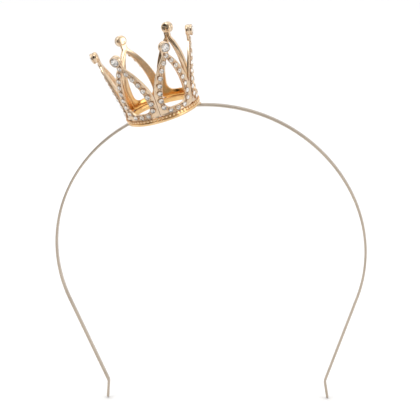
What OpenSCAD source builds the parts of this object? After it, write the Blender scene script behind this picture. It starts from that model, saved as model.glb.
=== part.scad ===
// Crown headband: a small jewelled crown of six pointed loops, soldered off-centre on a thin hair band.
// The band lies in the XZ plane and is seen edge-on along X. +Z points up and +Y points to the back.
// The origin is the centre of the space for the head, level with the widest place of the band.

/* [Headband] */
// Radius of the band's top arc, to the middle of the strip
band_top_r = 70.5; // [60:0.1:90]
// Angle of the top arc to each side of the middle
band_top_angle = 65; // [45:0.5:80]
// Radius of the two side arcs, to the middle of the strip
band_side_r = 66.5; // [50:0.1:80]
// Angle from the top at which the side arcs end and the straight legs begin
band_side_end = 110.5; // [95:0.5:120]
// Length of each straight leg
leg_len = 43.5; // [25:0.5:60]
// Radius of the bend between a leg and its turned-out end
bend_r = 3; // [2:0.5:15]
// Angle of that bend
bend_angle = 27; // [10:1:35]
// Length of each turned-out end
end_len = 8; // [3:0.5:15]
// Width of the strip, front to back
strip_w = 2.4; // [1.6:0.1:5]
// Thickness of the strip
strip_t = 1; // [0.5:0.1:2]

/* [Crown place] */
// Lean of the crown to the side, measured along the band's top arc
crown_lean = 14.5; // [-40:0.1:40]
// Turn of the crown about its own axis
crown_turn = 5.6; // [-30:0.1:30]

/* [Base ring] */
// Outer radius of the base ring
ring_r = 16.7; // [14:0.1:24]
// Width of the base ring, inner edge to outer edge
ring_w = 2.1; // [1.6:0.1:3]
// Height of the base ring
ring_h = 2.4; // [1.6:0.1:4]
// Height of the wider foot at the ring's lower edge
foot_h = 1.1; // [0.5:0.1:1.5]
// Depth of the step above the foot
foot_step = 0.3; // [0.1:0.05:0.5]

/* [Loops] */
// Number of loops round the crown
loop_count = 6; // [4:1:8]
// Outward slope of the loops, in degrees from upright
flare = 10; // [0:0.5:20]
// Thickness of the loops' wall
wall_t = 1.2; // [0.9:0.05:2]
// Height at which a loop ends in its neck
neck_z = 28.3; // [22:0.1:36]
// Width of the neck
neck_w = 3; // [2:0.1:4]
// How far a loop's outline runs past its neighbour's, where both are cut flush
flush_cut = 0.35; // [0:0.05:0.6]
// Width of a loop's rib at the widest place, up to its uncut outline
rib_w = 3.6; // [3:0.1:4.4]
// Height of a loop's bottom rib
foot_rib_h = 2.9; // [2.4:0.1:4]
// Height of the window's pointed top below the neck
window_drop = 1.6; // [1:0.1:4]
// Radius of a loop's lower corners
corner_r = 2.8; // [1.5:0.1:4.4]
// Radius of the window's lower corners
window_corner_r = 3.2; // [2:0.1:4]
// Height of a window's upright sides, from its lower corners to its widest place
upright_h = 0.5; // [0.1:0.1:4]

/* [Bezel cups] */
// Height of the bezel cup's centre above the neck's lower end
cup_rise = 4; // [3:0.1:7]
// Diameter of a bezel cup
cup_d = 4.9; // [4.6:0.1:7]
// Depth of a bezel cup, back to rim
cup_t = 3.1; // [2.4:0.1:4]
// How far a cup's back stands out behind the wall
cup_back = 0.3; // [0:0.1:1]
// Diameter of a bezel cup's back, inside its chamfer
cup_back_d = 3.3; // [2:0.1:4]
// Depth of the seat in a bezel cup
cup_seat_depth = 1; // [0.5:0.1:1.5]
// Diameter of the stone in a bezel cup
cup_stone_d = 3.9; // [2.5:0.1:4.1]

/* [Small stones] */
// Diameter of a small stone
stone_d = 2.1; // [1.5:0.05:2.2]
// Distance between stones along a rib
stone_pitch = 3.5; // [2.6:0.1:5]
// Distance from a window's edge to the middle of its stones
stone_inset = 1.2; // [1.1:0.05:1.5]
// Height of a stone's straight edge
girdle_h = 0.6; // [0.4:0.05:0.8]
// Height of a small stone's bevelled top
bevel_h = 0.45; // [0.2:0.05:0.8]
// Depth of a small stone's seat
seat_depth = 0.5; // [0.3:0.05:0.7]

/* [Fits] */
// Gap all round a stone in its seat
seat_clear = 0.05; // [0.02:0.01:0.1]
// Solder that stands out beside the strip
solder_over = 0.5; // [0.2:0.1:1]

/* [Hidden] */
$fn = 96;

gold = [0.86, 0.62, 0.36];
band_metal = [0.72, 0.66, 0.6];
clear_stone = [0.9, 0.92, 0.95];

// Step between the points of an arc of the strip, in degrees
arc_step = 2;
// Radius of a rounded end, as a share of the strip's width: a little over half
end_round = 0.6;

// The band is drawn in the plane [x, z]. A point at radius r and an angle a from the top, and a step
// of length l in the direction of travel there.
function turned(r, a) = [r * sin(a), r * cos(a)];
function along(l, a) = [l * cos(a), -l * sin(a)];
top_arc = -(band_top_r - band_side_r) * [0, cos(band_top_angle)];
side_arc = [(band_top_r - band_side_r) * sin(band_top_angle), 0];
leg_end = side_arc + turned(band_side_r, band_side_end) + along(leg_len, band_side_end);
bend_centre = leg_end + turned(bend_r, band_side_end);
end_angle = band_side_end - bend_angle;
end_start = bend_centre - turned(bend_r, end_angle);

// The base ring's inner edge rests on the outer face of the band
ring_inner_r = ring_r - ring_w;
crown_seat = sqrt(pow(band_top_r + strip_t / 2, 2) - pow(ring_inner_r, 2) + pow(strip_w / 2, 2));
solder_r = strip_w / 2 + solder_over;
// How far the solder runs down beside the strip, as a share of its thickness
solder_down = 0.8;

// The loops' wall is a cone whose middle starts halfway across the ring's top face
ring_top_r = ring_r - foot_step;
wall_half = wall_t / 2 / cos(flare);
wall_foot_r = (ring_inner_r + ring_top_r) / 2;
function wall_r(z) = wall_foot_r + (z - ring_h) * tan(flare);
sector = 360 / loop_count;
sector_half = sector / 2;
cup_z = neck_z + cup_rise;
wall_top_z = cup_z - cup_d / 4;

window_z = ring_h + foot_rib_h;
window_tip_z = neck_z - window_drop;
// Height of the widest place of a loop and its window
widest_z = window_z + window_corner_r + upright_h;
// Half widths of a loop and its window, seen square on
loop_half = (wall_r(widest_z) + wall_half / 2) * sin(sector_half) + flush_cut;
window_half = loop_half - rib_w;
// Radius of an arc that starts upright and moves in by dx over a height dz
function arc_r(dx, dz) = (dx * dx + dz * dz) / (2 * dx);
loop_arc_r = arc_r(loop_half - neck_w / 2, neck_z - widest_z);
window_arc_r = arc_r(window_half, window_tip_z - widest_z);

// The stones' line runs round the window
line_half = window_half + stone_inset;
line_z = window_z - stone_inset;
line_corner_r = window_corner_r + stone_inset;
line_tip_z = (window_tip_z + neck_z) / 2 + neck_w / 4;
line_arc_r = arc_r(line_half, line_tip_z - widest_z);
line_flat = line_half - line_corner_r;
line_corner = line_corner_r * 90 * PI / 180;
line_upright = upright_h;
line_arc_angle = asin((line_tip_z - widest_z) / line_arc_r);
line_len = line_flat + line_corner + line_upright + line_arc_r * line_arc_angle * PI / 180;
stone_steps = round(line_len / stone_pitch);

// The point of the stones' line at a length s from the middle of the bottom rib
function line_point(s) =
    let (
        s1 = s - line_flat,
        s2 = s1 - line_corner,
        s3 = s2 - line_upright,
        a1 = s1 / line_corner_r * 180 / PI,
        a3 = s3 / line_arc_r * 180 / PI
    )
    s1 <= 0 ? [s, line_z]
    : s2 <= 0 ? [line_flat + line_corner_r * sin(a1), line_z + line_corner_r * (1 - cos(a1))]
    : s3 <= 0 ? [line_half, line_z + line_corner_r + s2]
    : [line_half - line_arc_r * (1 - cos(a3)), widest_z + line_arc_r * sin(a3)];

half_line = [for (i = [0:stone_steps]) line_point(line_len * i / stone_steps)];
// Every stone once: the middle ones of the bottom rib and the tip are not mirrored
stone_points = concat(half_line, [for (i = [1:stone_steps - 1]) [-half_line[i][0], half_line[i][1]]]);

seat_d = stone_d + 2 * seat_clear;
cup_seat_d = cup_stone_d + 2 * seat_clear;
cup_girdle_h = cup_seat_depth;
stone_table = 0.55;
cup_bevel_h = 0.7;

// A cup's rim and back, measured out from the wall's outer face
cup_rim_out = cup_t - cup_back - wall_t;
cup_back_out = -wall_t - cup_back;

// ---- places ----

// Puts its children, modelled on the crown's own axis, on top of the band
module on_crown() {
    translate([0, 0, top_arc[1]])
        rotate([0, -crown_lean, 0])
            translate([0, 0, crown_seat])
                children();
}

// Turns its children to loop i
module at_loop(i) {
    on_crown()
        rotate([0, 0, crown_turn + (i - 1) * sector])
            children();
}

// Puts its children on the outer face of the wall, Z pointing straight out of it
module on_wall(x, z) {
    turn = asin(x / wall_r(z));
    rotate([0, 0, turn])
        translate([wall_r(z), 0, z])
            rotate([0, 90 + flare, 0])
                translate([0, 0, wall_t / 2])
                    children();
}

// ---- headband ----

// Points along one face of the strip, o outside its middle, from the top down to one end
function arc_points(centre, r, a0, a1) =
    let (n = ceil(abs(a1 - a0) / arc_step))
    [for (i = [1:n]) centre + turned(r, a0 + (a1 - a0) * i / n)];

function face_points(o) = concat(
    [top_arc + turned(band_top_r + o, 0)],
    arc_points(top_arc, band_top_r + o, 0, band_top_angle),
    arc_points(side_arc, band_side_r + o, band_top_angle, band_side_end),
    arc_points(bend_centre, o - bend_r, band_side_end, end_angle),
    [end_start + along(end_len, end_angle) + turned(o, end_angle)]
);

function backwards(v) = [for (i = [len(v) - 1:-1:0]) v[i]];
function flipped(v) = [for (p = v) [-p[0], p[1]]];

// The strip seen from the front, both sides in one outline
module strip_outline() {
    outer = face_points(strip_t / 2);
    inner = face_points(-strip_t / 2);
    polygon(concat(backwards(outer), flipped(outer), backwards(flipped(inner)), inner));
}

// What is cut off one end of the strip to leave it rounded
module end_corners() {
    round_r = end_round * strip_w;
    tip = end_start + along(end_len, end_angle);
    translate([tip[0], 0, tip[1]])
        rotate([0, end_angle, 0])
            translate([-round_r, 0, 0])
                difference() {
                    translate([0, -strip_w, -strip_t])
                        cube([2 * round_r, 2 * strip_w, 2 * strip_t]);
                    cylinder(r = round_r, h = 3 * strip_t, center = true);
                }
}

module headband() {
    color(band_metal)
        difference() {
            rotate([90, 0, 0])
                linear_extrude(height = strip_w, center = true)
                    strip_outline();
            end_corners();
            mirror([1, 0, 0]) end_corners();
        }
}

// ---- crown ----

module base_ring() {
    color(gold)
        on_crown()
            rotate_extrude()
                polygon([
                    [ring_inner_r, 0],
                    [ring_r, 0],
                    [ring_r, foot_h],
                    [ring_top_r, foot_h + foot_step],
                    [ring_top_r, ring_h],
                    [ring_inner_r, ring_h]
                ]);
}

// One solder joint under the base ring, side -1 or 1, moulded round the strip
module solder(side) {
    color(gold)
        difference() {
            on_crown()
                difference() {
                    translate([side * (ring_inner_r + ring_r) / 2, 0, 0])
                        sphere(r = solder_r, $fn = 48);
                    for (z = [0, -strip_t * solder_down - 2 * solder_r])
                        translate([-2 * ring_r, -2 * solder_r, z])
                            cube([4 * ring_r, 4 * solder_r, 2 * solder_r]);
                }
            headband();
        }
}

// A pointed arch, half wide at widest_z, that narrows in arcs of radius r up to height top
module arch(half, r, top) {
    intersection() {
        translate([half - r, widest_z]) circle(r = r, $fn = 200);
        translate([r - half, widest_z]) circle(r = r, $fn = 200);
        translate([-half, widest_z]) square([2 * half, top - widest_z]);
    }
}

// The part of the outline below widest_z, with its lower corners rounded
module rounded_foot(half, r, bottom) {
    translate([-half, bottom + r]) square([2 * half, widest_z - bottom - r]);
    translate([r - half, bottom]) square([2 * (half - r), r]);
    for (side = [-1, 1])
        translate([side * (half - r), bottom + r]) circle(r = r);
}

// The arch and the neck run a little way into each other, so that their edges cross cleanly at neck_z
module loop_outline() {
    lap = neck_w / 4;
    arch(loop_half, loop_arc_r, neck_z + lap);
    rounded_foot(loop_half, corner_r, ring_h);
    translate([-neck_w / 2, neck_z - lap]) square([neck_w, wall_top_z - neck_z + lap]);
}

module window_arch() {
    arch(window_half, window_arc_r, neck_z);
}

module window_foot() {
    rounded_foot(window_half, window_corner_r, window_z);
}

// Carries a flat outline straight out through the wall
module through_wall() {
    rotate([90, 0, 90])
        linear_extrude(height = 2 * ring_r)
            children();
}

module wall_cone() {
    rotate([0, 0, -sector_half])
        rotate_extrude(angle = sector)
            polygon([
                [wall_r(ring_h) - wall_half, ring_h],
                [wall_r(ring_h) + wall_half, ring_h],
                [wall_r(cup_z) + wall_half, cup_z],
                [wall_r(cup_z) - wall_half, cup_z]
            ]);
}

module cup() {
    on_wall(0, cup_z)
        translate([0, 0, cup_back_out]) {
            back_h = (cup_d - cup_back_d) / 2;
            cylinder(d1 = cup_back_d, d2 = cup_d, h = back_h);
            translate([0, 0, back_h]) cylinder(d = cup_d, h = cup_t - back_h);
        }
}

module loop(i) {
    color(gold)
        at_loop(i)
            difference() {
                union() {
                    difference() {
                        intersection() {
                            wall_cone();
                            through_wall() loop_outline();
                        }
                        through_wall() window_arch();
                        through_wall() window_foot();
                    }
                    cup();
                }
                for (p = stone_points)
                    on_wall(p[0], p[1])
                        translate([0, 0, -seat_depth]) cylinder(d = seat_d, h = 2 * seat_depth);
                on_wall(0, cup_z)
                    translate([0, 0, cup_rim_out - cup_seat_depth])
                        cylinder(d = cup_seat_d, h = 2 * cup_seat_depth);
            }
}

// ---- stones ----

module stone(d, edge_h, top_h) {
    cylinder(d = d, h = edge_h);
    translate([0, 0, edge_h]) cylinder(d1 = d, d2 = stone_table * d, h = top_h);
}

module loop_stones(i) {
    color(clear_stone)
        at_loop(i)
            for (p = stone_points)
                on_wall(p[0], p[1])
                    translate([0, 0, -seat_depth]) stone(stone_d, girdle_h, bevel_h);
}

module cup_stone(i) {
    color(clear_stone)
        at_loop(i)
            on_wall(0, cup_z)
                translate([0, 0, cup_rim_out - cup_seat_depth])
                    stone(cup_stone_d, cup_girdle_h, cup_bevel_h);
}

headband();
base_ring();
solder(-1);  // solder_left
solder(1);  // solder_right
for (i = [1:loop_count]) {
    loop(i);
    loop_stones(i);
    cup_stone(i);
}
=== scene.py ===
import math

import bmesh
import bpy
from mathutils import Matrix, Vector


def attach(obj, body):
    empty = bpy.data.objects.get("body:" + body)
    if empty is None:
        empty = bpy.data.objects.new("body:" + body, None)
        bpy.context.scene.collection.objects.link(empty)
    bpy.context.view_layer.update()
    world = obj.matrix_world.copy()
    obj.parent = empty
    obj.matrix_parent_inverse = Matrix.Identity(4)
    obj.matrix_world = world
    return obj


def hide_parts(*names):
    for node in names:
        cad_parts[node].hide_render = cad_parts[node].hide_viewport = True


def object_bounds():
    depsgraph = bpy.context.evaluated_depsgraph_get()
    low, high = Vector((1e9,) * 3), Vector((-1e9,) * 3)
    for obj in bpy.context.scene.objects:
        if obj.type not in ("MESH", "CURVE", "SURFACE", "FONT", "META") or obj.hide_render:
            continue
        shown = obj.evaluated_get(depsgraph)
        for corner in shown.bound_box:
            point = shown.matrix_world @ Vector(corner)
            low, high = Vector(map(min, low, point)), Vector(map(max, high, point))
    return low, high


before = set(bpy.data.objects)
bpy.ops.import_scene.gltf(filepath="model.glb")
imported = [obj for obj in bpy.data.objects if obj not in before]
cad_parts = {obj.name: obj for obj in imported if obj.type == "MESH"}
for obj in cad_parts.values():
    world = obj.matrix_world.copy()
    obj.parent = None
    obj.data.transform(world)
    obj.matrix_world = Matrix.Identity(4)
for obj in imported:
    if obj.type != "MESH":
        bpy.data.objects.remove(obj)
CAD_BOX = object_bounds()
MM = 0.001

# ---- sizes, in millimetres and degrees, as in part.scad ----

# Headband
BAND_TOP_R = 70.5
BAND_TOP_ANGLE = 65
BAND_SIDE_R = 66.5
BAND_SIDE_END = 110.5
LEG_LEN = 43.5
BEND_R = 3
BEND_ANGLE = 27
END_LEN = 8
STRIP_W = 2.4
STRIP_T = 1
# Crown
CROWN_LEAN = 14.5
CROWN_TURN = 5.6
RING_R = 16.7
RING_W = 2.1
RING_H = 2.4
FOOT_H = 1.1
FOOT_STEP = 0.3
LOOP_COUNT = 6
FLARE = 10
WALL_T = 1.2
NECK_Z = 28.3
NECK_W = 3
FLUSH_CUT = 0.35
RIB_W = 3.6
FOOT_RIB_H = 2.9
WINDOW_DROP = 1.6
CORNER_R = 2.8
WINDOW_CORNER_R = 3.2
UPRIGHT_H = 0.5
CUP_RISE = 4
CUP_D = 4.9
CUP_T = 3.1
CUP_BACK = 0.3
CUP_STONE_D = 3.9
STONE_D = 2.1
STONE_PITCH = 3.5
STONE_INSET = 1.2
CUP_SEAT_DEPTH = 1

# ---- derived sizes ----

RING_INNER_R = RING_R - RING_W
RING_TOP_R = RING_R - FOOT_STEP
WALL_FOOT_R = (RING_INNER_R + RING_TOP_R) / 2
SECTOR = 360 / LOOP_COUNT
CUP_Z = NECK_Z + CUP_RISE
TOP_ARC_Z = -(BAND_TOP_R - BAND_SIDE_R) * math.cos(math.radians(BAND_TOP_ANGLE))
SIDE_ARC_X = (BAND_TOP_R - BAND_SIDE_R) * math.sin(math.radians(BAND_TOP_ANGLE))
CROWN_SEAT = math.sqrt((BAND_TOP_R + STRIP_T / 2) ** 2 - RING_INNER_R**2 + (STRIP_W / 2) ** 2)


def wall_r(z):
    """Radius of the middle of the loops' wall at height z."""
    return WALL_FOOT_R + (z - RING_H) * math.tan(math.radians(FLARE))


SECTOR_SIN = math.sin(math.radians(SECTOR / 2))
WALL_HALF = WALL_T / 2 / math.cos(math.radians(FLARE))
WINDOW_Z = RING_H + FOOT_RIB_H
WINDOW_TIP_Z = NECK_Z - WINDOW_DROP
WIDEST_Z = WINDOW_Z + WINDOW_CORNER_R + UPRIGHT_H
LOOP_HALF = (wall_r(WIDEST_Z) + WALL_HALF / 2) * SECTOR_SIN + FLUSH_CUT
WINDOW_HALF = LOOP_HALF - RIB_W
# A cup's rim and back, measured out from the middle of the wall
CUP_RIM_N = CUP_T - CUP_BACK - WALL_T / 2
CUP_BACK_N = -WALL_T / 2 - CUP_BACK

CROWN = (
    Matrix.Translation((0, 0, TOP_ARC_Z))
    @ Matrix.Rotation(math.radians(-CROWN_LEAN), 4, "Y")
    @ Matrix.Translation((0, 0, CROWN_SEAT))
)


def loop_place(i):
    """Where loop i (from 0) stands in the frame."""
    return CROWN @ Matrix.Rotation(math.radians(CROWN_TURN + i * SECTOR), 4, "Z")


def wall_point(x, z, n=0.0):
    """The point x across and z up a loop, n outside the middle of its wall."""
    r = wall_r(z)
    a = math.asin(max(-1.0, min(1.0, x / r)))
    f = math.radians(FLARE)
    out = Vector((math.cos(a) * math.cos(f), math.sin(a) * math.cos(f), -math.sin(f)))
    return Vector((r * math.cos(a), r * math.sin(a), z)) + out * n


def wall_place(x, z, n=0.0, turn=0.0):
    """A place on the wall whose Z points straight out of it."""
    a = math.asin(x / wall_r(z))
    return (
        Matrix.Rotation(a, 4, "Z")
        @ Matrix.Translation((wall_r(z), 0, z))
        @ Matrix.Rotation(math.radians(90 + FLARE), 4, "Y")
        @ Matrix.Translation((0, 0, n))
        @ Matrix.Rotation(turn, 4, "Z")
    )


def add_object(name, data):
    obj = bpy.data.objects.new(name, data)
    bpy.context.scene.collection.objects.link(obj)
    return obj


# ---- camera, in metres and degrees, with its lens in millimetres ----

CAMERA_AZIMUTH = 6.8
CAMERA_ELEVATION = 20.1
CAMERA_ROLL = 2.74
CAMERA_DISTANCE = 0.794
CAMERA_AIM = Vector((0.0009, 0.0001, 0.0195))
CAMERA_LENS = 151.8
CAMERA_CLIP = (0.01, 20)


def make_camera():
    a, e = math.radians(CAMERA_AZIMUTH), math.radians(CAMERA_ELEVATION)
    back = Vector((math.sin(a) * math.cos(e), -math.cos(a) * math.cos(e), math.sin(e)))
    cam = add_object("camera", bpy.data.cameras.new("camera"))
    cam.data.lens = CAMERA_LENS
    cam.location = CAMERA_AIM + back * CAMERA_DISTANCE
    look = (-back).to_track_quat("-Z", "Y").to_matrix().to_4x4()
    roll = Matrix.Rotation(math.radians(-CAMERA_ROLL), 4, "Z")
    cam.matrix_world = Matrix.Translation(cam.location) @ look @ roll
    cam.data.clip_start, cam.data.clip_end = CAMERA_CLIP
    bpy.context.scene.camera = cam


make_camera()

# ---- mesh helpers ----

# Points closer than this, in metres, are one point
MERGE_DIST = 1e-7


class Build:
    """Collects points and faces of one piece, in millimetres, and makes an object in metres."""

    def __init__(self, smooth=True):
        self.points = []
        self.faces = []
        self.slots = []
        self.smooth = smooth

    def add(self, points, faces, place=None, slots=None):
        """Adds faces, whose numbers count from the first of the points given with them."""
        start = len(self.points)
        place = place or Matrix.Identity(4)
        self.points += [place @ Vector(p) for p in points]
        self.faces += [tuple(start + k for k in f) for f in faces]
        self.slots += slots or [0] * len(faces)

    def grid(self, rows, place=None, round_rows=False, round_columns=True, caps=False):
        """Quads between rows of points.

        round_rows and round_columns close that direction. caps closes the first and last row.
        """
        n, m = len(rows), len(rows[0])
        faces = []
        for i in range(n if round_rows else n - 1):
            for j in range(m if round_columns else m - 1):
                a, b = i * m + j, i * m + (j + 1) % m
                c, d = ((i + 1) % n) * m + (j + 1) % m, ((i + 1) % n) * m + j
                faces.append((a, b, c, d))
        if caps:
            faces.append(tuple(reversed(range(m))))
            faces.append(tuple((n - 1) * m + j for j in range(m)))
        self.add([p for row in rows for p in row], faces, place)

    def turned(self, profile, steps, place=None, closed=False):
        """A profile of (radius, height) points turned round Z.

        A closed profile is a loop. An open one starts and ends on the axis.
        """
        rows = []
        for k in range(steps):
            a = 2 * math.pi * k / steps
            rows.append([(r * math.cos(a), r * math.sin(a), z) for r, z in profile])
        self.grid(rows, place, round_rows=True, round_columns=closed)

    def object(self, name, *materials):
        mesh = bpy.data.meshes.new(name)
        mesh.from_pydata([p * MM for p in self.points], [], self.faces)
        bm = bmesh.new()
        bm.from_mesh(mesh)
        bmesh.ops.remove_doubles(bm, verts=bm.verts, dist=MERGE_DIST)
        bmesh.ops.dissolve_degenerate(bm, dist=MERGE_DIST, edges=bm.edges)
        bmesh.ops.recalc_face_normals(bm, faces=bm.faces)
        bm.to_mesh(mesh)
        bm.free()
        for m in materials:
            mesh.materials.append(m)
        mesh.polygons.foreach_set("use_smooth", [self.smooth] * len(mesh.polygons))
        return add_object(name, mesh)


def arc_profile(cr, cz, r, a0, a1, count):
    """Points of a round stretch of a turned profile."""
    return [
        (cr + r * math.cos(math.radians(a)), cz + r * math.sin(math.radians(a)))
        for a in (a0 + (a1 - a0) * k / count for k in range(count + 1))
    ]


def ball(r, steps):
    """Profile of a ball about its centre, from pole to pole."""
    return arc_profile(0, 0, r, -90, 90, steps)


def finished(obj, node):
    """Every piece here stands for one CAD node and rides on the only body."""
    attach(obj, "root")
    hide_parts(node)
    return obj


# ---- materials ----

# Noise stays between these values nearly everywhere
NOISE_SPAN = (0.3, 0.7)
WHITE = (1.0, 1.0, 1.0)

# Gold: painted shade in its recesses as (openness, tone), and the share and tone of each other
# change
RECESS_REACH = 4 * MM
RECESS_SAMPLES = 12
RECESS_SHADE_TONES = ((0.25, (0.50, 0.26, 0.06)), (0.60, (0.86, 0.64, 0.34)), (0.88, WHITE))
WORN_POINTINESS = (0.52, 0.62)
WORN_SHARE = 0.45
WORN_TONE = (0.95, 0.84, 0.70, 1.0)
# Painted reflection: the crown's inner faces near the ring take a deep orange, as the gold reflects
# itself there
INNER_REFLECTION_TONE = (0.84, 0.46, 0.12, 1.0)
OUTER_TONE = (0.62, 0.49, 0.365, 1.0)
# Where those two fade, in millimetres: outside the middle of the wall, and above the ring's foot
INNER_SPAN = (-0.56, -0.30)
OUTER_SPAN = (0.30, 0.50)
LOW_SPAN = (4, 17)

# Band: stretches the noise into fine lines that run along the strip
GRAIN_SCALE = (60.0, 9000.0, 60.0)
CRYSTAL_IOR = 1.56


def new_material(name):
    mat = bpy.data.materials.new(name)
    mat.use_nodes = True
    nodes, links = mat.node_tree.nodes, mat.node_tree.links
    return mat, nodes, links, nodes["Principled BSDF"]


def object_coords(nodes):
    return nodes.new("ShaderNodeTexCoord").outputs["Object"]


def set_or_link(links, pairs):
    """Gives each (socket, value) its value, or links it where the value is a socket too."""
    for socket, value in pairs:
        if isinstance(value, bpy.types.NodeSocket):
            links.new(value, socket)
        else:
            socket.default_value = value


def noise(nodes, links, coords, scale, detail=3.0):
    n = nodes.new("ShaderNodeTexNoise")
    n.inputs["Scale"].default_value = scale
    n.inputs["Detail"].default_value = detail
    links.new(coords, n.inputs["Vector"])
    return n.outputs["Fac"]


def ramp(nodes, links, value, *stops):
    """A colour ramp through (place, colour) stops."""
    r = nodes.new("ShaderNodeValToRGB")
    while len(r.color_ramp.elements) < len(stops):
        r.color_ramp.elements.new(1.0)
    for e, (place, colour) in zip(r.color_ramp.elements, stops):
        e.position = place
        e.color = (*colour, 1.0)
    links.new(value, r.inputs["Fac"])
    return r.outputs["Color"]


def tones(nodes, links, value, low, high):
    """A noise as a colour between low and high."""
    return ramp(nodes, links, value, (NOISE_SPAN[0], low), (NOISE_SPAN[1], high))


def mixed(nodes, links, factor, a, b, blend="MIX"):
    m = nodes.new("ShaderNodeMix")
    m.data_type = "RGBA"
    m.blend_type = blend
    inputs = m.inputs
    set_or_link(links, ((inputs["Factor"], factor), (inputs["A"], a), (inputs["B"], b)))
    return m.outputs["Result"]


def ranged(nodes, links, value, low, high, span=NOISE_SPAN):
    """Takes value from its span to low and high, and keeps it between them."""
    m = nodes.new("ShaderNodeMapRange")
    m.inputs["From Min"].default_value, m.inputs["From Max"].default_value = span
    m.inputs["To Min"].default_value = low
    m.inputs["To Max"].default_value = high
    links.new(value, m.inputs["Value"])
    return m.outputs["Result"]


def in_metres(span):
    return tuple(end * MM for end in span)


def bump(nodes, links, bsdf, height, distance, strength):
    b = nodes.new("ShaderNodeBump")
    b.inputs["Strength"].default_value = strength
    b.inputs["Distance"].default_value = distance
    links.new(height, b.inputs["Height"])
    links.new(b.outputs["Normal"], bsdf.inputs["Normal"])


def math_node(nodes, links, operation, *values):
    m = nodes.new("ShaderNodeMath")
    m.operation = operation
    set_or_link(links, zip(m.inputs, values))
    return m.outputs["Value"]


def crown_faces(nodes, links, coords):
    """Two factors: 1 on the crown's inner faces near the base ring, where an orange reflection is
    painted, 1 on its outer faces.
    """
    local = nodes.new("ShaderNodeMapping")
    local.vector_type = "TEXTURE"
    local.inputs["Location"].default_value = CROWN.to_translation() * MM
    local.inputs["Rotation"].default_value = CROWN.to_euler()
    links.new(coords, local.inputs["Vector"])
    split = nodes.new("ShaderNodeSeparateXYZ")
    links.new(local.outputs["Vector"], split.inputs["Vector"])
    x, y, z = split.outputs

    y_squared = math_node(nodes, links, "MULTIPLY", y, y)
    squares = math_node(nodes, links, "MULTIPLY_ADD", x, x, y_squared)
    radius = math_node(nodes, links, "SQRT", squares)
    slope, foot = math.tan(math.radians(FLARE)), wall_r(0) * MM
    wall = math_node(nodes, links, "MULTIPLY_ADD", z, slope, foot)
    out = math_node(nodes, links, "SUBTRACT", radius, wall)

    inner = ranged(nodes, links, out, 1.0, 0.0, in_metres(INNER_SPAN))
    low = ranged(nodes, links, z, 1.0, 0.0, in_metres(LOW_SPAN))
    outer = ranged(nodes, links, out, 0.0, 1.0, in_metres(OUTER_SPAN))
    return math_node(nodes, links, "MULTIPLY", inner, low), outer


def gold_material(name, low, high, reflection_share, front):
    """Warm polished plating: soft casting unevenness, painted deep orange shade in recesses, paler
    worn edges, and a painted orange reflection on the crown's inner faces near the ring.

    low and high are its plain tones. The next two are the shares of the inner tone, a painted
    reflection, and of the outer tone.
    """
    mat, nodes, links, bsdf = new_material(name)
    coords = object_coords(nodes)
    base = tones(nodes, links, noise(nodes, links, coords, scale=220.0, detail=4.0), low, high)

    # Painted shade: ambient occlusion darkens the colour towards deep orange in recesses and
    # between parts
    recess = nodes.new("ShaderNodeAmbientOcclusion")
    recess.inputs["Distance"].default_value = RECESS_REACH
    recess.samples = RECESS_SAMPLES
    shade = ramp(nodes, links, recess.outputs["AO"], *RECESS_SHADE_TONES)
    base = mixed(nodes, links, 1.0, base, shade, "MULTIPLY")

    pointiness = nodes.new("ShaderNodeNewGeometry").outputs["Pointiness"]
    worn = ranged(nodes, links, pointiness, 0.0, WORN_SHARE, WORN_POINTINESS)
    base = mixed(nodes, links, worn, base, WORN_TONE)

    inner, outer = crown_faces(nodes, links, coords)
    # The inner tone is a painted reflection
    for factor, share, tone in ((inner, reflection_share, INNER_REFLECTION_TONE), (outer, front, OUTER_TONE)):
        base = mixed(nodes, links, math_node(nodes, links, "MULTIPLY", factor, share), base, tone)
    links.new(base, bsdf.inputs["Base Color"])
    bsdf.inputs["Metallic"].default_value = 1.0

    smears = noise(nodes, links, coords, scale=900.0, detail=3.0)
    links.new(ranged(nodes, links, smears, 0.12, 0.26), bsdf.inputs["Roughness"])
    dents = noise(nodes, links, coords, scale=700.0, detail=2.0)
    bump(nodes, links, bsdf, dents, distance=0.02 * MM, strength=0.5)
    return mat


def band_material():
    """Champagne plating on rolled strip: fine grain along the strip and a little uneven tone."""
    mat, nodes, links, bsdf = new_material("champagne_plating")
    coords = object_coords(nodes)
    tone = noise(nodes, links, coords, scale=60.0, detail=4.0)
    base = tones(nodes, links, tone, (0.44, 0.37, 0.30), (0.53, 0.45, 0.365))
    links.new(base, bsdf.inputs["Base Color"])
    bsdf.inputs["Metallic"].default_value = 1.0
    stretch = nodes.new("ShaderNodeMapping")
    stretch.inputs["Scale"].default_value = GRAIN_SCALE
    links.new(coords, stretch.inputs["Vector"])
    grain = noise(nodes, links, stretch.outputs["Vector"], scale=1.0, detail=2.0)
    links.new(ranged(nodes, links, grain, 0.24, 0.40), bsdf.inputs["Roughness"])
    bump(nodes, links, bsdf, grain, distance=0.004 * MM, strength=0.4)
    return mat


def solder_material():
    """Gold-toned solder, duller and more uneven than the plating."""
    mat, nodes, links, bsdf = new_material("solder_gold")
    coords = object_coords(nodes)
    tone = noise(nodes, links, coords, scale=500.0, detail=4.0)
    base = tones(nodes, links, tone, (0.52, 0.36, 0.20), (0.74, 0.54, 0.34))
    links.new(base, bsdf.inputs["Base Color"])
    bsdf.inputs["Metallic"].default_value = 1.0
    links.new(ranged(nodes, links, tone, 0.28, 0.48), bsdf.inputs["Roughness"])
    lumps = noise(nodes, links, coords, scale=1400.0, detail=3.0)
    bump(nodes, links, bsdf, lumps, distance=0.05 * MM, strength=0.6)
    return mat


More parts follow.
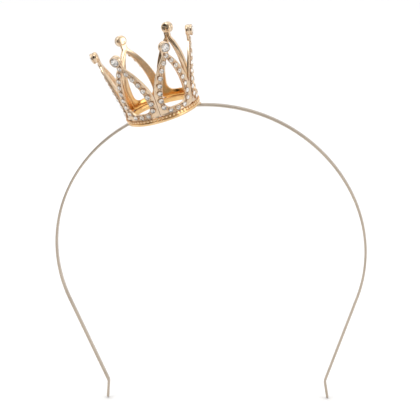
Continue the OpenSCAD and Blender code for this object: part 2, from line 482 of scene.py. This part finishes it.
def crystal_material():
    """Clear cut crystal, with faint surface wear."""
    mat, nodes, links, bsdf = new_material("crystal")
    coords = object_coords(nodes)
    tone = noise(nodes, links, coords, scale=400.0)
    base = tones(nodes, links, tone, (0.97, 0.96, 0.94), (1.0, 0.99, 0.98))
    links.new(base, bsdf.inputs["Base Color"])
    bsdf.inputs["Transmission Weight"].default_value = 1.0
    bsdf.inputs["IOR"].default_value = CRYSTAL_IOR
    wear = noise(nodes, links, coords, scale=1500.0, detail=4.0)
    links.new(ranged(nodes, links, wear, 0.0, 0.06, span=(0.5, 0.8)), bsdf.inputs["Roughness"])
    return mat


def foil_material():
    """The silvered back of a stone."""
    mat, nodes, links, bsdf = new_material("stone_foil")
    coords = object_coords(nodes)
    tone = noise(nodes, links, coords, scale=800.0)
    base = tones(nodes, links, tone, (0.88, 0.85, 0.82), (1.0, 0.98, 0.96))
    links.new(base, bsdf.inputs["Base Color"])
    bsdf.inputs["Metallic"].default_value = 1.0
    links.new(ranged(nodes, links, tone, 0.12, 0.30), bsdf.inputs["Roughness"])
    return mat


GOLD = gold_material(
    "gold_plating", (0.70, 0.51, 0.33), (0.84, 0.65, 0.46), reflection_share=0.85, front=0.6
)
RING_GOLD = gold_material(
    "ring_gold_plating", (0.72, 0.46, 0.22), (0.84, 0.60, 0.34), reflection_share=0.4, front=0.0
)
BAND = band_material()
SOLDER = solder_material()
CRYSTAL = crystal_material()
FOIL = foil_material()

# ---- headband ----

ARC_STEP = 1.25
BEND_STEP = 3
LEG_PARTS = 12
END_PARTS = 4
# The strip's ends are rounded off
TIP_R = 0.6 * STRIP_W
TIP_STEP = 10
TIP_MIN_W = 0.1
# The strip's rolled edges, and how far its outer face bulges
STRIP_EDGE_R = 0.22
STRIP_EDGE_SHARE = 0.9
STRIP_BULGE = 0.04


def polar(r, degrees):
    """The point r away, at an angle turned from +Z towards +X."""
    a = math.radians(degrees)
    return Vector((r * math.sin(a), 0, r * math.cos(a)))


def along(length, degrees):
    """A step along the strip where its outward direction is at this angle."""
    a = math.radians(degrees)
    return Vector((length * math.cos(a), 0, -length * math.sin(a)))


def band_side_path():
    """(middle, outward direction) from the middle of the top down to one end of the strip."""
    path = []

    def arc(centre, r, a0, a1, step):
        count = max(2, round(abs(a1 - a0) / step))
        for i in range(count + 1):
            a = a0 + (a1 - a0) * i / count
            path.append((centre + polar(r, a), polar(1, a)))

    side_centre = Vector((SIDE_ARC_X, 0, 0))
    leg_end = side_centre + polar(BAND_SIDE_R, BAND_SIDE_END) + along(LEG_LEN, BAND_SIDE_END)
    bend_centre = leg_end + polar(BEND_R, BAND_SIDE_END)
    end_angle = BAND_SIDE_END - BEND_ANGLE
    arc(Vector((0, 0, TOP_ARC_Z)), BAND_TOP_R, 0, BAND_TOP_ANGLE, ARC_STEP)
    path.pop()
    arc(side_centre, BAND_SIDE_R, BAND_TOP_ANGLE, BAND_SIDE_END, ARC_STEP)
    for _ in range(1, LEG_PARTS):
        middle = path[-1][0] + along(LEG_LEN / LEG_PARTS, BAND_SIDE_END)
        path.append((middle, polar(1, BAND_SIDE_END)))
    arc(bend_centre, -BEND_R, BAND_SIDE_END, end_angle, BEND_STEP)
    straight = path[-1][0]
    for k in range(1, END_PARTS + 1):
        middle = straight + along((END_LEN - TIP_R) * k / END_PARTS, end_angle)
        path.append((middle, polar(1, end_angle)))
    for degrees in range(TIP_STEP, 91, TIP_STEP):
        d = TIP_R * math.sin(math.radians(degrees))
        path.append((straight + along(END_LEN - TIP_R + d, end_angle), polar(1, end_angle)))
    return path


def strip_section(width):
    """Section of the strip as (y, outward) points: rounded edges and a slightly bulged face."""
    half_w, half_t = width / 2, STRIP_T / 2
    r = min(STRIP_EDGE_R, half_w * STRIP_EDGE_SHARE)
    corners = []
    for sy, so, a0 in ((1, 1, 0), (-1, 1, 90), (-1, -1, 180), (1, -1, 270)):
        corner = []
        for a in (math.radians(a0 + 30 * k) for k in range(4)):
            y = sy * (half_w - r) + r * math.cos(a)
            corner.append((y, so * (half_t - r) + r * math.sin(a)))
        corners.append(corner)
    outer, inner = [(0, half_t + STRIP_BULGE)], [(0, -half_t)]
    return corners[0] + outer + corners[1] + corners[2] + inner + corners[3]


def make_headband():
    side = band_side_path()
    end = side[-1][0]
    rows = []
    for middle, out in side:
        d = (end - middle).length
        width = STRIP_W
        if d < TIP_R:
            width = min(width, 2 * math.sqrt(max(0.0, TIP_R**2 - (TIP_R - d) ** 2)))
        width = max(width, TIP_MIN_W)
        rows.append([middle + out * o + Vector((0, y, 0)) for y, o in strip_section(width)])
    mirrored = [[Vector((-p.x, p.y, p.z)) for p in row] for row in rows[1:]]
    build = Build()
    build.grid(list(reversed(mirrored)) + rows, caps=True)
    return finished(build.object("hair_band", BAND), "headband")


make_headband()

# ---- base ring ----

RING_STEPS = 180
RING_EDGE_R = 0.2
# The hollow above the foot: how far out from the ring's top part its arc is centred, and its radius
HOLLOW_OUT = 0.12
HOLLOW_R = 0.14
BEAD_PITCH = 1.7
BEAD_R = 0.56
BEAD_LIFT = 0.1


def make_base_ring():
    r = RING_EDGE_R
    profile = (
        arc_profile(RING_INNER_R + r, r, r, 180, 270, 4)
        + arc_profile(RING_R - r, r, r, 270, 360, 4)
        + arc_profile(RING_R - r, FOOT_H - r, r, 0, 90, 4)
        + arc_profile(RING_TOP_R + HOLLOW_OUT, FOOT_H + HOLLOW_R, HOLLOW_R, 270, 180, 3)
        + arc_profile(RING_TOP_R - r, RING_H - r, r, 0, 90, 4)
        + arc_profile(RING_INNER_R + r, RING_H - r, r, 90, 180, 4)
    )
    build = Build()
    build.turned(profile, RING_STEPS, CROWN, closed=True)
    count = round(2 * math.pi * RING_TOP_R / BEAD_PITCH)
    bead_z = (FOOT_H + RING_H) / 2 + BEAD_LIFT
    for k in range(count):
        turn = Matrix.Rotation(2 * math.pi * k / count, 4, "Z")
        place = CROWN @ turn @ Matrix.Translation((RING_TOP_R, 0, bead_z))
        build.turned(ball(BEAD_R, steps=8), 12, place)
    return finished(build.object("crown_base_ring", RING_GOLD), "base_ring")


make_base_ring()

# ---- solder joints ----

# Half sizes of a blob along the strip, across it and up
SOLDER_SIZE = (1.35, 1.65, 0.62)
# How far its middle lies below the ring's foot
SOLDER_DROP = 0.25
SOLDER_BANDS = 16
SOLDER_STEPS = 28
# How uneven it is, as shares of its size
WIDE_SWELL = 0.08
FINE_SWELL = 0.05


def make_solder(side, name, node):
    """A small uneven blob where the ring crosses the strip."""
    along_strip, across, up = SOLDER_SIZE
    place = CROWN @ Matrix.Translation((side * (RING_INNER_R + RING_R) / 2, 0, -SOLDER_DROP))
    rows = []
    for i in range(1, SOLDER_BANDS):
        lat = math.pi * i / SOLDER_BANDS
        row = []
        for j in range(SOLDER_STEPS):
            lon = 2 * math.pi * j / SOLDER_STEPS
            swell = (
                1
                + WIDE_SWELL * math.sin(3 * lon + 5 * lat + side)
                + FINE_SWELL * math.sin(7 * lon - 4 * lat)
            )
            row.append((
                along_strip * swell * math.sin(lat) * math.cos(lon),
                across * swell * math.sin(lat) * math.sin(lon),
                up * swell * math.cos(lat),
            ))
        rows.append(row)
    build = Build()
    build.grid(rows, place, caps=True)
    return finished(build.object(name, SOLDER), node)


make_solder(-1, "solder_blob_left", "solder_left")
make_solder(1, "solder_blob_right", "solder_right")

# ---- loops: their outlines and ribs ----

# Where an outline's foot, bent corner and upright stretch end, from 0 to 1 along it
FOOT_SHARE = 0.14
BENT_SHARE = 0.36
UPRIGHT_SHARE = 0.40
# A loop's side stops this far, in degrees, short of the plane where it meets the next loop
NEIGHBOUR_GAP = 0.1

SIDE_PARTS = 64
NECK_PARTS = 8
TOP_PARTS = 3
# The neck ends inside the cup, this far below the cup's middle
NECK_END_DROP = 1.2

# Heights here and below are measured out from the middle of the wall
CHANNEL_N = 0.5
# How far the rails reach into a rib from its two edges
EDGE_BAND = 0.80
WINDOW_BAND = 0.38
# Across a rib: (edge it is measured from, distance from it, height)
RIB_PROFILE = (
    ("window", 0.0, -0.30),
    ("window", 0.0, 0.48),
    ("window", 0.05, 0.60),
    ("window", 0.14, 0.64),
    ("window", 0.23, 0.58),
    ("window", 0.30, 0.52),
    ("window", WINDOW_BAND, CHANNEL_N),
    ("edge", EDGE_BAND, CHANNEL_N),
    ("edge", 0.72, 0.54),
    ("edge", 0.64, 0.62),
    ("edge", 0.56, 0.66),
    ("edge", 0.30, 0.66),
    ("edge", 0.12, 0.60),
    ("edge", 0.03, 0.48),
    ("edge", 0.0, 0.30),
    ("edge", 0.0, -0.36),
    ("edge", 0.10, -0.54),
    ("edge", 0.34, -0.60),
    ("middle", 0.0, -0.62),
    ("window", 0.34, -0.60),
    ("window", 0.10, -0.52),
)
# The most of a rib's width that the two rails may take, and the least squareness reckoned with
RAILS_SHARE = 0.9
MIN_SQUARE = 0.25


def arc_radius(dx, dz):
    """Radius of an arc that starts upright and moves in by dx over a height dz."""
    return (dx * dx + dz * dz) / (2 * dx)


def outline_point(u, half, corner, bottom, end_x, end_z):
    """A point of an outline's right half, u from 0 at the middle of its foot to 1 at its top."""
    if u <= FOOT_SHARE:
        return Vector((u / FOOT_SHARE * (half - corner), bottom))
    if u <= BENT_SHARE:
        a = math.radians(90 * (u - FOOT_SHARE) / (BENT_SHARE - FOOT_SHARE))
        x = half - corner + corner * math.sin(a)
        return Vector((x, bottom + corner * (1 - math.cos(a))))
    if u <= UPRIGHT_SHARE:
        low = bottom + corner
        share = (u - BENT_SHARE) / (UPRIGHT_SHARE - BENT_SHARE)
        return Vector((half, low + (WIDEST_Z - low) * share))
    r = arc_radius(half - end_x, end_z - WIDEST_Z)
    a = math.asin((end_z - WIDEST_Z) / r) * (u - UPRIGHT_SHARE) / (1 - UPRIGHT_SHARE)
    return Vector((half - r + r * math.cos(a), WIDEST_Z + r * math.sin(a)))


def window_point(u):
    return outline_point(u, WINDOW_HALF, WINDOW_CORNER_R, WINDOW_Z, 0, WINDOW_TIP_Z)


def edge_point(u):
    p = outline_point(u, LOOP_HALF, CORNER_R, RING_H, NECK_W / 2, NECK_Z)
    p.x = min(p.x, wall_r(p.y) * math.sin(math.radians(SECTOR / 2 - NEIGHBOUR_GAP)))
    return p


def rib_pairs():
    """(window point, edge point, squareness) up the right half and over the top of the neck.

    Squareness is 1 where the line between the two points crosses the rib at a right angle.
    """
    pairs = []
    for i in range(SIDE_PARTS + 1):
        u = i / SIDE_PARTS
        pairs.append((window_point(u), edge_point(u), 1.0))
    tip = window_point(1)
    top = CUP_Z - NECK_END_DROP
    for k in range(1, NECK_PARTS + 1):
        z = NECK_Z + (top - NECK_Z) * k / NECK_PARTS
        e = Vector((NECK_W / 2, z))
        pairs.append((tip, e, abs((e - tip).normalized().x)))
    for k in range(1, TOP_PARTS + 1):
        e = Vector((NECK_W / 2 * (1 - k / TOP_PARTS), top))
        pairs.append((tip, e, abs((e - tip).normalized().y)))
    return pairs


def rib_row(window, edge, square, mirror):
    across = edge - window
    width = across.length
    fit = min(1.0, RAILS_SHARE * width * square / (EDGE_BAND + WINDOW_BAND))
    row = []
    for side, d, n in RIB_PROFILE:
        if side == "window":
            p = window + across * (d * fit / width)
        elif side == "edge":
            p = edge - across * (d * fit / max(square, MIN_SQUARE) / width)
        else:
            p = (window + edge) / 2
        row.append(wall_point(mirror * p.x, p.y, n))
    return row


# ---- loops: their settings, beads and cups ----

STONE_GIRDLE_N = 0.9
# A collet is the thin wall round a small stone, with four prongs on its rim
COLLET_IN = STONE_D / 2 + 0.02
COLLET_OUT = COLLET_IN + 0.18
COLLET_LIP_R = (COLLET_OUT - COLLET_IN) / 2
COLLET_TOP_N = STONE_GIRDLE_N + 0.02
COLLET_FOOT_N = CHANNEL_N - 0.1
COLLET_STEPS = 28
PRONG_COUNT = 4
PRONG_R = 0.2
PRONG_RING_R = COLLET_IN + 0.03
# Two beads lie between neighbouring stones, each this far to its side of the stones' line
BEAD_SPREAD = 0.5
BEAD_SIZE = 0.36
BEAD_N = CHANNEL_N + 0.05

CUP_STEPS = 48
CUP_R = CUP_D / 2
CUP_ROUND_R = 1.0
# The groove round a cup: its depth, and the heights where it starts, is deep, and ends
CUP_GROOVE = 0.16
GROOVE_N = (0.9, 1.05, 1.3, 1.45)
CUP_LIP_R = (CUP_D - CUP_STONE_D) / 4
CUP_FLOOR_N = CUP_RIM_N - CUP_SEAT_DEPTH
COLLET_PROFILE = (
    [(COLLET_OUT, COLLET_FOOT_N)]
    + arc_profile(COLLET_OUT - COLLET_LIP_R, COLLET_TOP_N - COLLET_LIP_R, COLLET_LIP_R, 0, 180, 6)
    + [(COLLET_IN, COLLET_FOOT_N)]
)
CUP_PROFILE = (
    [(0, CUP_BACK_N)]
    + arc_profile(CUP_R - CUP_ROUND_R, CUP_BACK_N + CUP_ROUND_R, CUP_ROUND_R, -80, 0, 7)
    + list(zip((CUP_R, CUP_R - CUP_GROOVE, CUP_R - CUP_GROOVE, CUP_R), GROOVE_N))
    + arc_profile(CUP_R - CUP_LIP_R, CUP_RIM_N - CUP_LIP_R, CUP_LIP_R, 0, 180, 8)
    + [(CUP_R - 2 * CUP_LIP_R, CUP_FLOOR_N), (0, CUP_FLOOR_N)]
)


def line_points():
    """Where the small stones of a loop sit, as in part.scad."""
    half = WINDOW_HALF + STONE_INSET
    z0 = WINDOW_Z - STONE_INSET
    corner = WINDOW_CORNER_R + STONE_INSET
    tip_z = (WINDOW_TIP_Z + NECK_Z) / 2 + NECK_W / 4
    r = arc_radius(half, tip_z - WIDEST_Z)
    flat, bent, upright = half - corner, corner * math.pi / 2, WIDEST_Z - z0 - corner
    length = flat + bent + upright + r * math.asin((tip_z - WIDEST_Z) / r)
    steps = round(length / STONE_PITCH)
    right = []
    for i in range(steps + 1):
        s = length * i / steps
        if s <= flat:
            right.append((s, z0))
        elif s <= flat + bent:
            a = (s - flat) / corner
            right.append((flat + corner * math.sin(a), z0 + corner * (1 - math.cos(a))))
        elif s <= flat + bent + upright:
            right.append((half, z0 + corner + s - flat - bent))
        else:
            a = (s - flat - bent - upright) / r
            right.append((half - r * (1 - math.cos(a)), WIDEST_Z + r * math.sin(a)))
    return right + [(-x, z) for x, z in reversed(right[1:-1])]


STONE_POINTS = line_points()
STONE_NEIGHBOURS = list(zip(STONE_POINTS, STONE_POINTS[1:] + STONE_POINTS[:1]))


def add_collet(build, seat):
    build.turned(COLLET_PROFILE, COLLET_STEPS, seat, closed=True)
    for k in range(PRONG_COUNT):
        a = math.radians(45 + 360 / PRONG_COUNT * k)
        x, y = PRONG_RING_R * math.cos(a), PRONG_RING_R * math.sin(a)
        spot = Matrix.Translation((x, y, COLLET_TOP_N))
        build.turned(ball(PRONG_R, steps=6), 8, seat @ spot)


def make_loop(i):
    build = Build()
    place = loop_place(i)
    pairs = rib_pairs()
    right = [rib_row(*p, 1) for p in pairs]
    left = [rib_row(*p, -1) for p in pairs[1:-1]]
    build.grid(right + list(reversed(left)), place, round_rows=True)
    for x, z in STONE_POINTS:
        add_collet(build, place @ wall_place(x, z))
    for (x0, z0), (x1, z1) in STONE_NEIGHBOURS:
        step = Vector((x1 - x0, z1 - z0)).normalized() * BEAD_SPREAD
        for side in (-1, 1):
            x, z = (x0 + x1) / 2 - side * step.y, (z0 + z1) / 2 + side * step.x
            build.turned(ball(BEAD_SIZE, steps=6), 10, place @ wall_place(x, z, BEAD_N))
    build.turned(CUP_PROFILE, CUP_STEPS, place @ wall_place(0, CUP_Z))
    return finished(build.object(f"jewelled_loop_{i + 1}", GOLD), f"loop_{i + 1}")


# ---- stones ----

# Radii of a stone's facet corners, as shares of its radius, and their heights, as shares of the
# height of its top and the depth of its back
TABLE_SHARE = 0.56
STAR_SHARE, STAR_RISE = 0.80, 0.52
BELLY_SHARE, BELLY_SINK = 0.50, 0.55
# Heights of the top, the girdle and the back
SMALL_CUT = (0.42, 0.08, 0.42)
LARGE_CUT = (0.72, 0.14, 0.8)
# A large stone's girdle sits this far below the cup's rim
LARGE_STONE_DROP = 0.05
# Each stone is turned by this much more than the last, in radians, and each loop's first stone by
# this many turns more than the last loop's
GOLDEN_TURN = 2.39996
LOOP_TURNS = 20


def brilliant(r, top_h, edge_h, back_h):
    """Round brilliant cut with its girdle's upper edge at height 0.

    Gives its points, its faces, and a material slot for each face: 0 is crystal, 1 the back.
    """

    def ring(count, radius, z, shift=0.0):
        return [
            (radius * math.cos(a), radius * math.sin(a), z)
            for a in (2 * math.pi * (k + shift) / count for k in range(count))
        ]

    table = ring(8, TABLE_SHARE * r, top_h, 0.5)
    stars = ring(8, STAR_SHARE * r, STAR_RISE * top_h)
    upper = ring(16, r, 0.0)
    lower = ring(16, r, -edge_h)
    belly = ring(8, BELLY_SHARE * r, -edge_h - BELLY_SINK * back_h, 0.5)
    points = table + stars + upper + lower + belly + [(0, 0, -edge_h - back_h)]
    # The number of the first point of each ring, and of the tip
    T, S, U, L, B, C = 0, 8, 16, 32, 48, 56
    faces, slots = [tuple(range(8))], [0]

    def face(slot, *f):
        faces.append(f)
        slots.append(slot)

    for k in range(8):
        n, u = (k + 1) % 8, 2 * k
        un, up = (u + 1) % 16, (u - 1) % 16
        face(0, T + (k - 1) % 8, S + k, T + k)
        face(0, T + k, S + k, U + un, S + n)
        face(0, S + k, U + up, U + u)
        face(0, S + k, U + u, U + un)
        face(1, L + u, L + up, B + (k - 1) % 8)
        face(1, L + un, L + u, B + k)
        face(1, L + u, B + (k - 1) % 8, C, B + k)
    for k in range(16):
        n = (k + 1) % 16
        face(0, U + k, L + k, L + n, U + n)
    return points, faces, slots


def stone_object(build, name):
    """The faces keep their order in the mesh, because nothing in a stone is merged."""
    obj = build.object(name, CRYSTAL, FOIL)
    if len(obj.data.polygons) != len(build.slots):
        raise ValueError("a stone lost a face")
    obj.data.polygons.foreach_set("material_index", build.slots)
    return obj


def make_loop_stones(i):
    build = Build(smooth=False)
    points, faces, slots = brilliant(STONE_D / 2, *SMALL_CUT)
    for k, (x, z) in enumerate(STONE_POINTS):
        turn = GOLDEN_TURN * (k + LOOP_TURNS * i)
        build.add(points, faces, loop_place(i) @ wall_place(x, z, STONE_GIRDLE_N, turn), slots)
    obj = stone_object(build, f"small_stones_{i + 1}")
    return finished(obj, f"loop_stones_{i + 1}")


def make_cup_stone(i):
    build = Build(smooth=False)
    points, faces, slots = brilliant(CUP_STONE_D / 2, *LARGE_CUT)
    place = wall_place(0, CUP_Z, CUP_RIM_N - LARGE_STONE_DROP, GOLDEN_TURN * i)
    build.add(points, faces, loop_place(i) @ place, slots)
    obj = stone_object(build, f"large_stone_{i + 1}")
    return finished(obj, f"cup_stone_{i + 1}")


for index in range(LOOP_COUNT):
    make_loop(index)
    make_loop_stones(index)
    make_cup_stone(index)

# ---- floor and light, in metres and watts ----

FLOOR_Z = CAD_BOX[0].z - 0.2 * MM
FLOOR_CORNERS = ((-4, -4), (4, -4), (4, 6), (-4, 6))
FLOOR_TONE = (0.97, 0.97, 0.97, 1)
# The flag's lowest and highest edge, and where its two ends stand
FLAG_Z = (CAD_BOX[0].z + 1 * MM, 0.05)
FLAG_ENDS = ((-0.62, -0.12), (-0.30, -0.50))
FLAG_TONE = (0.012, 0.011, 0.010, 1)
# Name, place, size, power and the point aimed at
LIGHTS = (
    ("key", (-0.5, -0.4, 0.9), (0.35, 0.35), 1.6, (0, 0, 0.04)),
    ("fill", (0.8, -0.35, 0.35), (0.5, 0.5), 1.6, (0, 0, 0.04)),
    ("top", (0.0, 0.5, 1.2), (1.2, 0.9), 3.0, (0.0, 0.4, -0.07)),
)
WORLD_STRENGTH = 1.02
# The world's tones about two directions: (how squarely it is faced, tone)
FRONT_WAY = (0, -1, 0.1)
FRONT_TONES = ((0.0, WHITE), (0.55, (0.75, 0.75, 0.75)), (0.85, (0.35, 0.34, 0.33)))
LEFT_WAY = (-0.8, -0.6, 0.05)
LEFT_TONES = ((0.86, WHITE), (0.93, (0.02, 0.02, 0.02)))


def plane(name, corners, material, tone, roughness, specular):
    """A four-cornered plane that isn't part of the object."""
    mesh = bpy.data.meshes.new(name)
    mesh.from_pydata(corners, [], [(0, 1, 2, 3)])
    mat, _, _, bsdf = new_material(material)
    bsdf.inputs["Base Color"].default_value = tone
    bsdf.inputs["Roughness"].default_value = roughness
    bsdf.inputs["Specular IOR Level"].default_value = specular
    mesh.materials.append(mat)
    return add_object(name, mesh)


def make_floor():
    corners = [(x, y, FLOOR_Z) for x, y in FLOOR_CORNERS]
    floor = plane("floor", corners, "pale_floor", FLOOR_TONE, roughness=0.9, specular=0.1)


def make_flag():
    """A low black flag on the camera's left, seen only in the metal, as jewellery is lit."""
    (low, high), (left, right) = FLAG_Z, FLAG_ENDS
    corners = [(*left, low), (*right, low), (*right, high), (*left, high)]
    flag = plane("flag", corners, "flag_cloth", FLAG_TONE, roughness=0.95, specular=0.0)
    flag.visible_camera = flag.visible_diffuse = flag.visible_shadow = False


def make_world():
    """White surroundings, dimmer in front of the object and nearly black on the camera's left."""
    world = bpy.data.worlds.new("studio")
    bpy.context.scene.world = world
    world.use_nodes = True
    nodes, links = world.node_tree.nodes, world.node_tree.links
    coords = nodes.new("ShaderNodeTexCoord").outputs["Generated"]

    def tone_towards(direction, stops):
        dot = nodes.new("ShaderNodeVectorMath")
        dot.operation = "DOT_PRODUCT"
        dot.inputs[1].default_value = Vector(direction).normalized()
        links.new(coords, dot.inputs[0])
        facing = ranged(nodes, links, dot.outputs["Value"], 0.0, 1.0, span=(0.0, 1.0))
        return ramp(nodes, links, facing, *stops)

    front = tone_towards(FRONT_WAY, FRONT_TONES)
    dark = tone_towards(LEFT_WAY, LEFT_TONES)
    colour = mixed(nodes, links, 1.0, front, dark, "MULTIPLY")
    links.new(colour, nodes["Background"].inputs["Color"])
    nodes["Background"].inputs["Strength"].default_value = WORLD_STRENGTH


def area_light(name, place, size, power, aim):
    light = bpy.data.lights.new(name, "AREA")
    light.shape = "RECTANGLE"
    light.size, light.size_y = size
    light.energy = power
    obj = add_object(name, light)
    obj.location = place
    obj.rotation_mode = "QUATERNION"
    obj.rotation_quaternion = (Vector(aim) - Vector(place)).to_track_quat("-Z", "Y")


make_floor()
make_flag()
make_world()
for light in LIGHTS:
    area_light(*light)
bpy.context.scene.view_settings.view_transform = "Standard"
